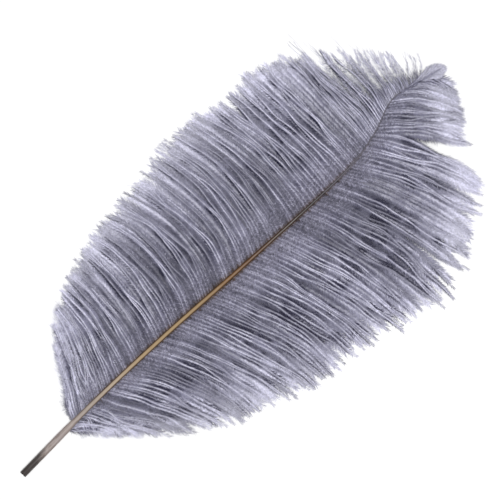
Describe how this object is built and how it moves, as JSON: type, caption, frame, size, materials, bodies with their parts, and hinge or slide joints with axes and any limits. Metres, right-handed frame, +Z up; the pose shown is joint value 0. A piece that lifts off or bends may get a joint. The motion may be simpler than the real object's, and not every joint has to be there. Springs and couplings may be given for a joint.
{
  "type": "ostrich feather",
  "caption": "Broad grey ostrich feather with a cut quill, a slender arched shaft and long, loose, fluffy barbs on both sides, lying with its outer face up.",
  "frame": {"origin": "on the surface the feather lies on, under the middle of the whole feather", "axes": "+X runs from the cut end of the quill to the tip, +Y points to the narrower vane and +Z up, out of the feather's outer face"},
  "size_m": [0.3496, 0.1772, 0.0224],
  "materials": {
    "horn": "horn-like keratin, mauve grey at the quill, tan along the shaft and dark grey towards the tip, with a low gloss",
    "down": "soft matt barbs, mid grey with a lavender cast, darker near the shaft and paler at the tips"
  },
  "bodies": {
    "root": {"shaft": "horn", "vane_left": "down", "vane_right": "down"}
  },
  "joints": []
}
